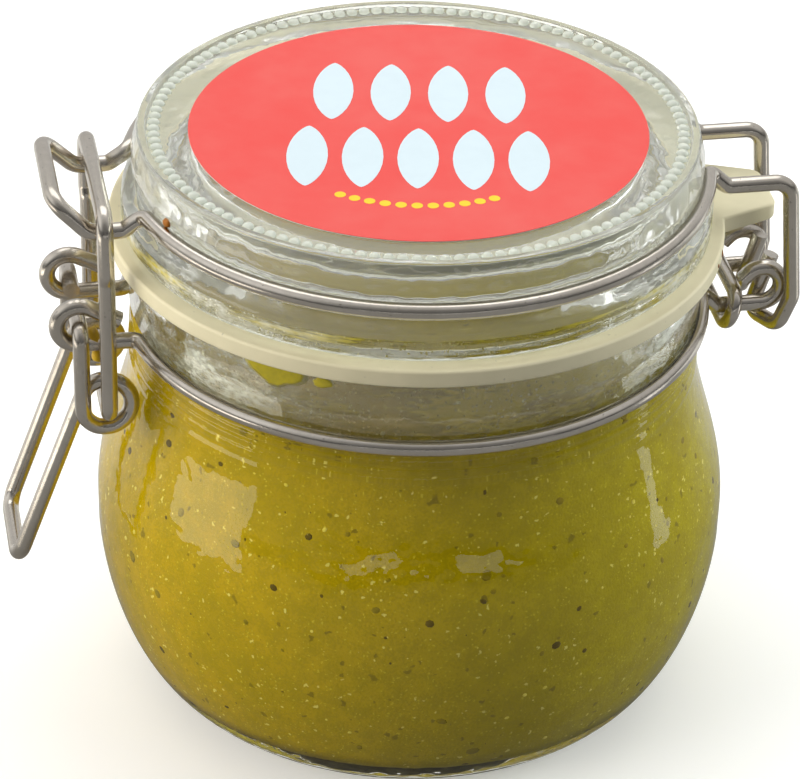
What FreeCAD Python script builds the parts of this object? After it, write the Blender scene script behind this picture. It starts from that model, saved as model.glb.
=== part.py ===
"""A half-litre swing-top glass jar of green chilli paste, shut and latched.

Millimetres, +Z up.  The origin is the centre of the base, on the surface that the jar stands on.
+X points to the hinge, -X to the closure.  Every wire is mirrored in the plane y = 0.
"""

import FreeCAD, Part
import math
import os

from FreeCAD import Vector

# ---- clearances ----
SEAT_GAP = 0.05            # pieces that lie on each other, in one body
WIRE_GAP = 0.3             # wires that pass each other and can move
LATCH_GAP = 1.2            # clamp's crossbar above the beak, for the latch's over-centre dip
PLUG_GAP = 0.6             # the lid's plug inside the gasket
CURL_STANDOFF = 4.08       # lever's curl, from its axis to the shoulder level with its lowest point

# ---- jar ----
BELLY_R = 53.0             # widest outer radius
BELLY_LOW_Z = 30.0         # the belly is widest from here
BELLY_HIGH_Z = 34.0        # to here
FOOT_R = 40.2              # outer radius of the ring that the jar stands on
FOOT_HEIGHT = 1.6
FOOT_ROUND = 0.7
FOOT_RING_WIDTH = 4.5
PUSH_UP = 2.2              # height of the dished base inside the foot ring
HEEL_STEP = 0.7            # the body starts this far outside the foot
HEEL_POWER = 1.7           # roundness of the heel's curve
NECK_R = 46.9              # outer radius where the shoulder ends
MOUTH_Z = 83.0             # the jar's own rim, under the gasket
MOUTH_ROUND = 1.2
NECK_RING_DROP = 12.6      # from the rim down to the neck wire's centre
SHOULDER_DROP = 4.9        # from the neck wire's centre down to the end of the shoulder
COLLAR_STEP = 0.2          # the collar above the neck wire stands out this much more than the neck
WALL = 3.1
COLLAR_WALL = 3.6
BASE_THICKNESS = 5.0
FLOOR_ROUND = 4.0          # the floor turns up into the wall over this width
FLOOR_LIFT = 1.0           # and over at least this height

# ---- paste ----
PASTE_DROP = 15.4          # from the rim down to the paste

# ---- wires ----
WIRE_D = 2.7
CRIMP = 0.65               # inner radius of a sharp bend
BEND = 1.65                # inner radius of an easy bend
RING_LEAD = 3.4            # from a leg to the end of its ring's arc
NECK_RING_STEP = 0.5       # neck wire's centre outside the neck's surface

# ---- gasket ----
GASKET_OVERHANG = 3.4      # past the neck
GASKET_LIP = 2.3           # past the collar's bore, inwards
GASKET_THICKNESS = 3.0
GASKET_ROUND = 0.5
TAB_REACH = 1.7            # past the hinge's knuckle
TAB_ROOT_HALF = 10.2       # half width where the tab leaves the ring
TAB_TIP_HALF = 5.8
TAB_CORNER = 2.5
TAB_OVERLAP = 1.0          # how far the tab's outline starts inside the ring

# ---- lid ----
FLANGE_STEP = 2.3          # the gasket shows this much outside the lid
FLANGE_HEIGHT = 5.2
FLANGE_ROUND = 1.5
FLANGE_FOOT_ROUND = 0.8
LID_RING_STEP = 1.0        # lid wire's centre inside the flange's edge
LID_RING_RISE = 8.6        # from the gasket to the lid wire's centre
GROOVE_LIP = 0.8           # lower edge of the wire's groove inside the wire's centre
BAND_STEP = 0.7            # pale band inside the lid wire's centre
CROWN_HEIGHT = 7.3         # from the lid wire's centre to the top of the beads
RIM_STEP = 1.0             # rim inside the band
RIM_SLOPE = 3.75           # height over which the band draws in to the rim
RIM_ROUND = 1.4
RIM_WIDTH = 5.3            # from the rim in to the edge of the label's recess
LIP_WIDTH = 1.4            # raised lip outside the beads
BEAD_HEIGHT = 0.75         # ridge that the beads stand in
BEAD_WIDTH = 2.0
LABEL_MARGIN = 2.9         # label inside the recess's edge
LABEL_THICKNESS = 0.2
RECESS = 0.7               # the label's face lies this far below the top
RECESS_MARGIN = 1.4        # recess's floor past the label
LID_PLATE = 5.0
PLUG_WALL = 3.4
PLUG_DEPTH = 4.6
PLUG_ROUND = 1.0
PLATE_ROUND = 3.0

# ---- closure ----
EYE_REACH = 9.0            # lever's axis outside the neck wire
EYE_R = 3.5                # eye of the neck wire, to the wire's centre
EYE_W = 8.4                # half distance between the two eyes
EYE_TAIL = 5.6
EYE_TAIL_ANGLE = 62.0
PIN_END_W = 2.7            # inner end of the lever's pins
CURL_DROP = 14.1           # clamp's axis below the lever's
CURL_R = 4.0               # curl of the lever, to the wire's centre
HANDLE_REACH = 15.3        # handle's end bar outside the curl's axis
HANDLE_DROP = 30.0         # and below it
CLAMP_PIN_END_W = 6.4      # inner end of the clamp's pins
CLAMP_BAR_INSET = 4.0      # clamp's crossbar inside the lever's axis
CLAMP_JOGGLE = 0.6         # the clamp is this much wider above its joggle
JOGGLE_RUN = 1.5
JOGGLE_RISE = 0.4          # top of the joggle above the gasket
CLAMP_BEND = 1.85          # inner radius at the crossbar's ends
BEAK_W = 11.2              # half distance between the beak's legs
BEAK_DROP = 2.3            # beak below the lid wire's ring
BEAK_LEAD = 2.2            # from the ring to the beak's level run
BEAK_PAST_BAR = 2.2        # level run ends this far past the crossbar
NOSE_REACH = 7.6           # nose past the crossbar
NOSE_RISE = 5.5
NOSE_TAPER = 0.8           # the nose is narrower than the beak by this, each side

# ---- hinge ----
HINGE_GAP = 0.2            # lid wire's hinge leg beside the neck wire's knuckle
HINGE_ARM_DROP = 2.9       # hinge arm below the lid wire's ring
HINGE_ARM_LEAD = 2.4
KNUCKLE_W = 6.4            # half distance between the neck wire's hinge arms
KNUCKLE_REACH = 10.2       # centre of the hinge curl outside the neck wire
KNUCKLE_RISE = 0.5
KNUCKLE_R = 3.3
KNUCKLE_SWEEP = 272.0      # degrees of the hinge curl
KNUCKLE_LEAD = 2.7         # the arm has dropped to its level here
HINGE_CORNER_REACH = 2.6   # the hinge's and hook's reaches, drops and rises are from the knuckle's centre
HINGE_LOW_REACH = 4.5
HINGE_LOW_DROP = 0.9
HOOK_REACH = 1.0
HOOK_CROSS_IN = 1.8        # the hook crosses under the knuckle from this far inside its lowest point
HOOK_CROSS_OUT = 1.4       # to this far outside it
HOOK_TAIL_REACH = 2.2
HOOK_TAIL_RISE = 4.0
LINK_REACH = 4.7           # closed link that ties the two arms together, outside the neck wire
LINK_TILT = 15.0           # degrees from upright
LINK_D = 2.5

# ---- how the curves are drawn ----
CURVE_STEPS = 10           # points on each formula curve
HEEL_CROWDING = 1.5        # the heel's points lie closer towards the foot
CURL_SIDES = 8             # runs in a full turn of a curl
CURL_FILL = 0.9            # share of a curl's turn that its arcs take up
OVERCUT = 1.0              # a cutting shape passes the face that it cuts by this
TOUCH = 1e-6               # points nearer than this are the same point

# ---- heights that follow ----
NECK_RING_Z = MOUTH_Z - NECK_RING_DROP
SHOULDER_TOP_Z = NECK_RING_Z - SHOULDER_DROP
PASTE_TOP_Z = MOUTH_Z - PASTE_DROP
GASKET_Z = MOUTH_Z + SEAT_GAP
LID_Z = GASKET_Z + GASKET_THICKNESS + SEAT_GAP
LID_RING_Z = LID_Z + LID_RING_RISE
LID_TOP_Z = LID_RING_Z + CROWN_HEIGHT
BEAD_Z = LID_TOP_Z - BEAD_HEIGHT
LABEL_Z = LID_TOP_Z - RECESS - LABEL_THICKNESS

# ---- radii that follow ----
COLLAR_R = NECK_R + COLLAR_STEP
BORE_R = COLLAR_R - COLLAR_WALL
NECK_RING_R = NECK_R + NECK_RING_STEP
GASKET_R = NECK_R + GASKET_OVERHANG
GASKET_INNER_R = BORE_R - GASKET_LIP
PLUG_R = GASKET_INNER_R - PLUG_GAP
FLANGE_R = GASKET_R - FLANGE_STEP
LID_RING_R = FLANGE_R - LID_RING_STEP
BAND_R = LID_RING_R - BAND_STEP
RIM_R = BAND_R - RIM_STEP
RIM_INNER_R = RIM_R - RIM_WIDTH
BEAD_RING_R = (RIM_R + RIM_INNER_R) / 2
LABEL_R = RIM_INNER_R - LABEL_MARGIN
CRIMP_R = WIRE_D / 2 + CRIMP
BEND_R = WIRE_D / 2 + BEND


def shoulder_r(z):
    """Outer radius of the shoulder at height z."""
    t = (z - BELLY_HIGH_Z) / (SHOULDER_TOP_Z - BELLY_HIGH_Z)
    drop = (1 - math.cos(math.pi * t)) / 2
    return BELLY_R - drop * (BELLY_R - NECK_R)


# ---- closure's places ----
EYE_X = -(NECK_RING_R + EYE_REACH)
EYE_Z = NECK_RING_Z + EYE_R
CURL_Z = EYE_Z - CURL_DROP
LEVER_W = EYE_W + WIRE_D + WIRE_GAP
# the curl clears the shoulder under its lowest point and, if the neck is the wider, beside its axis
WALL_BESIDE_CURL = math.sqrt(shoulder_r(CURL_Z) ** 2 - (LEVER_W - WIRE_D / 2) ** 2)
CURL_CLEAR_BELOW = shoulder_r(CURL_Z - CURL_R) + CURL_STANDOFF
CURL_CLEAR_BESIDE = WALL_BESIDE_CURL + CURL_R + WIRE_D / 2 + WIRE_GAP
CURL_X = -max(CURL_CLEAR_BELOW, CURL_CLEAR_BESIDE)
HANDLE_X = CURL_X - HANDLE_REACH
HANDLE_Z = CURL_Z - HANDLE_DROP
HANDLE_W = LEVER_W - WIRE_D - SEAT_GAP
CLAMP_W = LEVER_W + WIRE_D + WIRE_GAP
BEAK_Z = LID_RING_Z - BEAK_DROP
CLAMP_BAR_X = EYE_X + CLAMP_BAR_INSET
CLAMP_BAR_Z = BEAK_Z + WIRE_D + LATCH_GAP
JOGGLE_Z = LID_Z + JOGGLE_RISE

# ---- hinge's places ----
HINGE_W = KNUCKLE_W + WIRE_D + HINGE_GAP
KNUCKLE_X = NECK_RING_R + KNUCKLE_REACH
KNUCKLE_Z = NECK_RING_Z + KNUCKLE_RISE
KNUCKLE_ARM_Z = KNUCKLE_Z - KNUCKLE_R
HOOK_X = KNUCKLE_X + HOOK_REACH
HOOK_Z = KNUCKLE_ARM_Z - WIRE_D - WIRE_GAP
HOOK_INNER_W = KNUCKLE_W - WIRE_D - WIRE_GAP
HINGE_ARM_Z = LID_RING_Z - HINGE_ARM_DROP
LINK_R = (WIRE_D + LINK_D) / 2 + WIRE_GAP
TAB_TIP_X = KNUCKLE_X + TAB_REACH


# ---- outlines ----
def body_curve(inset):
    """Points of the jar's side, from the heel up to the neck, moved in by inset."""
    heel_r = FOOT_R + HEEL_STEP
    points = []
    for i in range(CURVE_STEPS):
        t = (i / CURVE_STEPS) ** HEEL_CROWDING
        bulge = (1 - (1 - t) ** HEEL_POWER) ** (1 / HEEL_POWER)
        z = FOOT_HEIGHT + t * (BELLY_LOW_Z - FOOT_HEIGHT)
        points.append(Vector(heel_r + bulge * (BELLY_R - heel_r) - inset, 0, z))
    for i in range(CURVE_STEPS + 1):
        z = BELLY_HIGH_Z + i / CURVE_STEPS * (SHOULDER_TOP_Z - BELLY_HIGH_Z)
        points.append(Vector(shoulder_r(z) - inset, 0, z))
    return points


def spline(points):
    curve = Part.BSplineCurve()
    curve.interpolate(points)
    return curve.toShape()


def chain(items):
    """Edges through items: a Vector is joined by a straight line, an edge keeps its shape."""
    edges = []
    at = None
    for item in items:
        start = item if isinstance(item, Vector) else item.firstVertex(True).Point
        if at is not None and at.distanceToPoint(start) > TOUCH:
            edges.append(Part.LineSegment(at, start).toShape())
        if isinstance(item, Vector):
            at = item
        else:
            edges.append(item)
            at = item.lastVertex(True).Point
    return edges


def turned(items):
    """The solid that a closed half outline sweeps round the Z axis."""
    edges = chain(items + [items[0]])
    face = Part.Face(Part.Wire(edges))
    return face.revolve(Vector(0, 0, 0), Vector(0, 0, 1), 360).Solids[0]


def arc(start, middle, end):
    return Part.Arc(start, middle, end).toShape()


def rounded(corner, radius, before, after):
    """A tangent arc of that radius at corner, between the runs to before and after."""
    to_before = (before - corner).normalize()
    to_after = (after - corner).normalize()
    half = to_before.getAngle(to_after) / 2
    reach = radius / math.tan(half)
    bisector = (to_before + to_after).normalize()
    centre = corner + bisector * (radius / math.sin(half))
    start = corner + to_before * reach
    end = corner + to_after * reach
    return arc(start, centre - bisector * radius, end)


def flat(x, z):
    return Vector(x, 0, z)


# ---- wires ----
def bent(points, radii):
    """Edges of a wire's line: straight runs between points, with a tangent arc at each inner one."""
    items = [points[0]]
    for i in range(1, len(points) - 1):
        items.append(rounded(points[i], radii[i - 1], points[i - 1], points[i + 1]))
    items.append(points[-1])
    return chain(items)


def wire_solid(edges, diameter=WIRE_D):
    path = Part.Wire(edges)
    first = edges[0]
    start = first.firstVertex(True).Point
    direction = first.tangentAt(first.FirstParameter)
    if first.valueAt(first.FirstParameter).distanceToPoint(start) > TOUCH:
        direction = first.tangentAt(first.LastParameter) * -1
    section = Part.Wire(Part.makeCircle(diameter / 2, start, direction))
    return path.makePipeShell([section], True, False)


def mirrored(points):
    return [Vector(p.x, -p.y, p.z) for p in reversed(points)]


def ring_end(ring_r, ring_z, half_width, side):
    """Where a ring's front arc stops short of a leg at y = -half_width, and its bend's corner."""
    angle = math.asin((half_width + RING_LEAD) / ring_r)
    stop = Vector(side * ring_r * math.cos(angle), -ring_r * math.sin(angle), ring_z)
    along = Vector(side * math.sin(angle), math.cos(angle), 0)
    run = (-half_width - stop.y) / along.y
    return stop, stop + along * run


def front_arc(start, end, ring_r, ring_z):
    return arc(start, Vector(0, -ring_r, ring_z), end)


def curl_points(centre, radius, start_angle, sweep, y_start, y_end):
    """Corners of a polygon round a curl, for bent(): angles in degrees, turning in the XZ plane."""
    sides = round(CURL_SIDES * sweep / 360)
    step = sweep / sides
    outer = radius / math.cos(math.radians(step / 2))
    points = []
    for i in range(sides):
        angle = math.radians(start_angle + (i + 0.5) * step)
        share = (i + 0.5) / sides
        y = y_start + share * (y_end - y_start)
        points.append(Vector(centre.x + outer * math.cos(angle), y, centre.z + outer * math.sin(angle)))
    return points


def seat(ring_r, ring_z, low_r, high_r):
    """Groove round a ring of wire, from the surface below it at low_r to the one above at high_r."""
    groove_r = WIRE_D / 2 + SEAT_GAP
    low = flat(low_r, ring_z - math.sqrt(groove_r ** 2 - (ring_r - low_r) ** 2))
    high = flat(high_r, ring_z + math.sqrt(groove_r ** 2 - (ring_r - high_r) ** 2))
    return low, flat(ring_r - groove_r, ring_z), high


# ---- pieces ----
def jar_glass():
    side = spline(body_curve(0))
    low, floor, high = seat(NECK_RING_R, NECK_RING_Z, NECK_R, COLLAR_R)
    rim = flat(COLLAR_R, MOUTH_Z)
    outer_foot = flat(FOOT_R, 0)
    inner_foot = flat(FOOT_R - FOOT_RING_WIDTH, 0)
    foot_top = flat(FOOT_R, FOOT_HEIGHT)
    ring_inner = flat(FOOT_R - FOOT_RING_WIDTH - PUSH_UP, PUSH_UP)
    outside = turned([
        flat(0, PUSH_UP),
        ring_inner,
        rounded(inner_foot, FOOT_ROUND, ring_inner, outer_foot),
        rounded(outer_foot, FOOT_ROUND, inner_foot, foot_top),
        foot_top,
        side,
        arc(low, floor, high),
        rounded(rim, MOUTH_ROUND, high, flat(0, MOUTH_Z)),
        flat(0, MOUTH_Z),
    ])
    return outside.cut(body_space(0, PASTE_TOP_Z + OVERCUT)).cut(mouth()).Solids[0]


def body_space(gap, top_z):
    """The space inside the body up to top_z, drawn in by gap."""
    floor_z = PUSH_UP + BASE_THICKNESS + gap
    wall = [p for p in body_curve(WALL + gap) if p.z > floor_z + FLOOR_LIFT]
    corner = flat(wall[0].x - FLOOR_ROUND, floor_z)
    return turned([
        flat(0, floor_z),
        corner,
        spline([corner] + wall),
        flat(NECK_R - WALL - gap, top_z),
        flat(0, top_z),
    ])


def mouth():
    """The opening above the paste."""
    low_r = NECK_R - WALL
    return turned([
        flat(0, PASTE_TOP_Z),
        flat(low_r, PASTE_TOP_Z),
        flat(BORE_R, NECK_RING_Z + WIRE_D),
        flat(BORE_R, MOUTH_Z + OVERCUT),
        flat(0, MOUTH_Z + OVERCUT),
    ])


def gasket():
    ring = Part.makeCylinder(GASKET_R, GASKET_THICKNESS, Vector(0, 0, GASKET_Z))
    root_x = math.sqrt(GASKET_R ** 2 - TAB_ROOT_HALF ** 2) - TAB_OVERLAP
    corners = [
        Vector(root_x, -TAB_ROOT_HALF, GASKET_Z),
        Vector(TAB_TIP_X, -TAB_TIP_HALF, GASKET_Z),
        Vector(TAB_TIP_X, TAB_TIP_HALF, GASKET_Z),
        Vector(root_x, TAB_ROOT_HALF, GASKET_Z),
    ]
    outline = chain([
        corners[0],
        rounded(corners[1], TAB_CORNER, corners[0], corners[2]),
        rounded(corners[2], TAB_CORNER, corners[1], corners[3]),
        corners[3],
        corners[0],
    ])
    tab = Part.Face(Part.Wire(outline)).extrude(Vector(0, 0, GASKET_THICKNESS))
    body = ring.fuse(tab).removeSplitter()
    body = body.makeFillet(GASKET_ROUND, body.Edges)
    hole_height = GASKET_THICKNESS + 2 * OVERCUT
    hole = Part.makeCylinder(GASKET_INNER_R, hole_height, Vector(0, 0, GASKET_Z - OVERCUT))
    return body.cut(hole).Solids[0]


def lid_glass():
    low, floor, high = seat(LID_RING_R, LID_RING_Z, LID_RING_R - GROOVE_LIP, BAND_R)
    flange_top = flat(FLANGE_R, LID_Z + FLANGE_HEIGHT)
    flange_low = flat(FLANGE_R, LID_Z)
    band_top = flat(BAND_R, LID_TOP_Z - RIM_SLOPE)
    rim = flat(RIM_R, LID_TOP_Z)
    lip = flat(RIM_R - LIP_WIDTH, LID_TOP_Z)
    bead_inner = flat(BEAD_RING_R - BEAD_WIDTH / 2, BEAD_Z)
    bead_outer = flat(BEAD_RING_R + BEAD_WIDTH / 2, BEAD_Z)
    recess_z = LABEL_Z - SEAT_GAP
    plate_z = recess_z - LID_PLATE
    plug_top = flat(PLUG_R, LID_Z)
    plug_outer = flat(PLUG_R, LID_Z - PLUG_DEPTH)
    plug_inner = flat(PLUG_R - PLUG_WALL, LID_Z - PLUG_DEPTH)
    plate_edge = flat(PLUG_R - PLUG_WALL, plate_z)
    return turned([
        flat(0, recess_z),
        flat(LABEL_R + RECESS_MARGIN, recess_z),
        flat(RIM_INNER_R, BEAD_Z),
        arc(bead_inner, flat(BEAD_RING_R, LID_TOP_Z), bead_outer),
        lip,
        rounded(rim, RIM_ROUND, lip, band_top),
        rounded(band_top, RIM_ROUND, rim, high),
        arc(high, floor, low),
        rounded(flange_top, FLANGE_ROUND, low, flange_low),
        rounded(flange_low, FLANGE_FOOT_ROUND, flange_top, plug_top),
        plug_top,
        rounded(plug_outer, PLUG_ROUND, plug_top, plug_inner),
        rounded(plug_inner, PLUG_ROUND, plug_outer, plate_edge),
        rounded(plate_edge, PLATE_ROUND, plug_inner, flat(0, plate_z)),
        flat(0, plate_z),
    ])


def label():
    return Part.makeCylinder(LABEL_R, LABEL_THICKNESS, Vector(0, 0, LABEL_Z))


def paste():
    return body_space(SEAT_GAP, PASTE_TOP_Z)


def lid_wire():
    """One wire: hinge hook, hinge leg, front half ring, beak, and the same again at the back."""
    hinge_stop, hinge_bend = ring_end(LID_RING_R, LID_RING_Z, HINGE_W, 1)
    beak_stop, beak_bend = ring_end(LID_RING_R, LID_RING_Z, BEAK_W, -1)
    hook = [
        Vector(KNUCKLE_X + HOOK_TAIL_REACH, -HOOK_INNER_W, KNUCKLE_Z + HOOK_TAIL_RISE),
        Vector(HOOK_X - HOOK_CROSS_IN, -HOOK_INNER_W, HOOK_Z),
        Vector(HOOK_X + HOOK_CROSS_OUT, -HINGE_W, HOOK_Z),
        Vector(KNUCKLE_X + HINGE_LOW_REACH, -HINGE_W, KNUCKLE_Z - HINGE_LOW_DROP),
        Vector(KNUCKLE_X + HINGE_CORNER_REACH, -HINGE_W, HINGE_ARM_Z),
        Vector(LID_RING_R + HINGE_ARM_LEAD, -HINGE_W, HINGE_ARM_Z),
        hinge_bend,
        hinge_stop,
    ]
    beak = [
        beak_stop,
        beak_bend,
        Vector(-LID_RING_R - BEAK_LEAD, -BEAK_W, BEAK_Z),
        Vector(CLAMP_BAR_X - BEAK_PAST_BAR, -BEAK_W, BEAK_Z),
        Vector(CLAMP_BAR_X - NOSE_REACH, -BEAK_W + NOSE_TAPER, BEAK_Z + NOSE_RISE),
    ]
    hook_radii = [CRIMP_R, CRIMP_R, BEND_R, BEND_R, CRIMP_R, CRIMP_R]
    beak_radii = [CRIMP_R, CRIMP_R, BEND_R, BEND_R]
    nose = beak + mirrored(beak)
    front = bent(hook, hook_radii)
    middle = bent(nose, beak_radii + beak_radii[::-1])
    back = bent(mirrored(hook), hook_radii[::-1])
    front_ring = front_arc(hinge_stop, beak_stop, LID_RING_R, LID_RING_Z)
    ends = mirrored([hinge_stop, beak_stop])
    back_ring = arc(ends[0], Vector(0, LID_RING_R, LID_RING_Z), ends[1])
    return wire_solid(front + [front_ring] + middle + [back_ring] + back)


def neck_wire(side):
    """Half of the neck wire, the front one for side -1: closure eye, half ring, hinge curl."""
    eye_stop, eye_bend = ring_end(NECK_RING_R, NECK_RING_Z, EYE_W, -1)
    arm_stop, arm_bend = ring_end(NECK_RING_R, NECK_RING_Z, KNUCKLE_W, 1)
    tail_angle = math.radians(EYE_TAIL_ANGLE)
    eye = Vector(EYE_X, -EYE_W, EYE_Z)
    tail_start = eye + Vector(math.cos(tail_angle), 0, math.sin(tail_angle)) * EYE_R
    tail_end = tail_start + Vector(math.sin(tail_angle), 0, -math.cos(tail_angle)) * EYE_TAIL
    far_side = eye + Vector(-EYE_R, 0, 0)
    below = eye + Vector(0, 0, -EYE_R)
    closure = [tail_end, arc(tail_start, far_side, below)]
    eye_lead = bent([below, eye_bend, eye_stop], [CRIMP_R])
    ring = front_arc(eye_stop, arm_stop, NECK_RING_R, NECK_RING_Z)
    knuckle = Vector(KNUCKLE_X, 0, KNUCKLE_Z)
    curl = curl_points(knuckle, KNUCKLE_R, -90, KNUCKLE_SWEEP, -KNUCKLE_W, -KNUCKLE_W)
    arm_low = Vector(NECK_RING_R + KNUCKLE_LEAD, -KNUCKLE_W, KNUCKLE_ARM_Z)
    curl_radii = [KNUCKLE_R * CURL_FILL] * (len(curl) - 1)
    hinge = bent([arm_stop, arm_bend, arm_low] + curl, [CRIMP_R, CRIMP_R] + curl_radii)
    solid = wire_solid(chain(closure) + eye_lead + [ring] + hinge)
    if side > 0:
        solid = solid.mirror(Vector(0, 0, 0), Vector(0, 1, 0))
    return solid


def hinge_link():
    """A closed link round both hinge arms of the neck wire."""
    tilt = math.radians(LINK_TILT)
    up = Vector(math.sin(tilt), 0, math.cos(tilt)) * LINK_R
    centre = Vector(NECK_RING_R + LINK_REACH, 0, KNUCKLE_ARM_Z)
    front = centre + Vector(0, -KNUCKLE_W, 0)
    back = centre + Vector(0, KNUCKLE_W, 0)
    edges = chain([
        front + up,
        back + up,
        arc(back + up, back + Vector(0, LINK_R, 0), back - up),
        front - up,
        arc(front - up, front + Vector(0, -LINK_R, 0), front + up),
    ])
    return wire_solid(edges, LINK_D)


def lever():
    """One wire: pin through the eye, leg, curl and handle, and the same again at the back."""
    curl_centre = Vector(CURL_X, 0, CURL_Z)
    # the handle leaves the curl along a tangent, so its end bar lies on that line
    distance = math.hypot(HANDLE_REACH, HANDLE_DROP)
    handle_angle = math.degrees(math.atan2(-HANDLE_DROP, -HANDLE_REACH) - math.acos(CURL_R / distance))
    sweep = (handle_angle - 180) % 360
    curl = curl_points(curl_centre, CURL_R, 180, sweep, -LEVER_W, -HANDLE_W)
    half = [
        Vector(EYE_X, -PIN_END_W, EYE_Z),
        Vector(EYE_X, -LEVER_W, EYE_Z),
    ]
    half += curl
    half.append(Vector(HANDLE_X, -HANDLE_W, HANDLE_Z))
    radii = [CRIMP_R] + [CURL_R * CURL_FILL] * len(curl) + [BEND_R]
    return wire_solid(bent(half + mirrored(half), radii + radii[::-1]))


def clamp():
    """One wire: pin through the lever's curl, leg, crossbar, and the same again at the back."""
    half = [
        Vector(CURL_X, -CLAMP_PIN_END_W, CURL_Z),
        Vector(CURL_X, -CLAMP_W, CURL_Z),
        Vector(CURL_X, -CLAMP_W, JOGGLE_Z - JOGGLE_RUN),
        Vector(CLAMP_BAR_X, -CLAMP_W - CLAMP_JOGGLE, JOGGLE_Z),
        Vector(CLAMP_BAR_X, -CLAMP_W - CLAMP_JOGGLE, CLAMP_BAR_Z),
    ]
    radii = [CRIMP_R, CRIMP_R, CRIMP_R, WIRE_D / 2 + CLAMP_BEND]
    return wire_solid(bent(half + mirrored(half), radii + radii[::-1]))


PARTS = {
    "jar_glass": jar_glass,
    "paste": paste,
    "gasket": gasket,
    "lid_glass": lid_glass,
    "label": label,
    "lid_wire": lid_wire,
    "neck_wire_front": lambda: neck_wire(-1),
    "neck_wire_back": lambda: neck_wire(1),
    "hinge_link": hinge_link,
    "lever": lever,
    "clamp": clamp,
}

os.makedirs("parts", exist_ok=True)
for name, build in PARTS.items():
    shape = build()
    shape.exportStep("parts/" + name + ".step")
    box = shape.BoundBox
    print(name, shape.ShapeType, shape.isValid(), len(shape.Solids), round(shape.Volume, 1),
          [round(v, 2) for v in (box.XMin, box.YMin, box.ZMin, box.XMax, box.YMax, box.ZMax)])
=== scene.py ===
import math

import bmesh
import bpy
from bpy.props import FloatProperty, FloatVectorProperty, IntProperty, PointerProperty
from mathutils import Matrix, Vector, noise


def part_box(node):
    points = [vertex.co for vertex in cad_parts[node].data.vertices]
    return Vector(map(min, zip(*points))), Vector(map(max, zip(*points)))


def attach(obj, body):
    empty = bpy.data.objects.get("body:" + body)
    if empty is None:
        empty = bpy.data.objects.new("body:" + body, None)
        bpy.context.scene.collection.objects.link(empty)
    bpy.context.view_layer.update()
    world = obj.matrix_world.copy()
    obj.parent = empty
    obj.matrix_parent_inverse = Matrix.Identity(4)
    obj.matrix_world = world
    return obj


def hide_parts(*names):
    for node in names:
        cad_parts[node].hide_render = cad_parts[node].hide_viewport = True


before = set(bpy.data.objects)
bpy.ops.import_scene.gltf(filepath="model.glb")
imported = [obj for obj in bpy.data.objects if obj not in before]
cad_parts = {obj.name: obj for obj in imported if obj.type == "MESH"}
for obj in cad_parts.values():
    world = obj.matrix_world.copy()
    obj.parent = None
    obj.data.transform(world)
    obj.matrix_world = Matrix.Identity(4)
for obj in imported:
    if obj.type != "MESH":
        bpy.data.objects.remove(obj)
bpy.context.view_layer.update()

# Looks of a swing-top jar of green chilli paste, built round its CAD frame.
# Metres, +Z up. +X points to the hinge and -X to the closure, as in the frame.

bl_info = {
    "name": "Swing-Top Jar",
    "version": (1, 0, 0),
    "blender": (4, 5, 0),
    "location": "View3D > Sidebar > Swing-Top Jar",
    "description": "Dresses the CAD frame of a swing-top jar of chilli paste",
    "category": "Add Mesh",
}

# ---- places that the frame gives ----
JAR_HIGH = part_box("jar_glass")[1]
LABEL_LOW, LABEL_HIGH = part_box("label")
GAP = 0.00005              # between solids that rest on each other
PASTE_TOP_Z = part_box("paste")[1].z
MOUTH_Z = JAR_HIGH.z
LID_TOP_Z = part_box("lid_glass")[1].z
LID_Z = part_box("gasket")[1].z + GAP
LABEL_R = LABEL_HIGH.x
BELLY_R = min(JAR_HIGH.x, JAR_HIGH.y)
WIRE_R = 0.00135

# ---- jar ----
BELLY_LOW_Z = 0.030
BELLY_HIGH_Z = 0.034
FOOT_R = 0.0402
FOOT_HEIGHT = 0.0016
FOOT_ROUND = 0.0007
FOOT_RING_WIDTH = 0.0045
PUSH_UP = 0.0022
HEEL_STEP = 0.0007
HEEL_POWER = 1.7
NECK_R = 0.0469
COLLAR_R = 0.0471
NECK_RING_R = 0.0474
NECK_RING_Z = MOUTH_Z - 0.0126
SHOULDER_TOP_Z = NECK_RING_Z - 0.0049
WALL = 0.0031
BORE_R = 0.0435
BASE_THICKNESS = 0.005
FLOOR_ROUND = 0.004
MOUTH_ROUND = 0.0012
BORE_ROUND = 0.0006
NECK_STEP = 0.0003         # between the points of the straight neck below the groove
SEAT_R = WIRE_R + GAP
# the mould's rings on the shoulder: where each stands, and how high
RIDGES = ((0.0672, 0.00025), (0.0657, 0.00036), (0.0640, 0.00040), (0.0616, 0.00025))
RIDGE_WIDTH = 0.00045

# ---- lid ----
FLANGE_R = 0.048
FLANGE_HEIGHT = 0.0052
LID_RING_R = 0.047
LID_RING_Z = LID_Z + 0.0086
BAND_R = 0.0463
RIM_R = 0.0453
RIM_INNER_R = 0.0400
RIM_SLOPE = 0.00375
RIM_ROUND = 0.0014
RECESS_ROUND = 0.0007
FLANGE_ROUND = 0.0012
LIP_WIDTH = 0.0014
GROOVE_LIP = 0.0008        # how far inside the ring the groove's lower edge stands
BEAD_HEIGHT = 0.00075
BEAD_RING_R = (RIM_R + RIM_INNER_R) / 2
BEAD_Z = LID_TOP_Z - BEAD_HEIGHT
BEAD_FILL = 0.92           # a bead's length as a share of the beads' pitch
RECESS_MARGIN = 0.0014
RECESS_Z = LABEL_LOW.z - GAP
LID_PLATE = 0.005
PLUG_R = 0.0406
PLUG_WALL = 0.0034
PLUG_DEPTH = 0.0046

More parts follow.
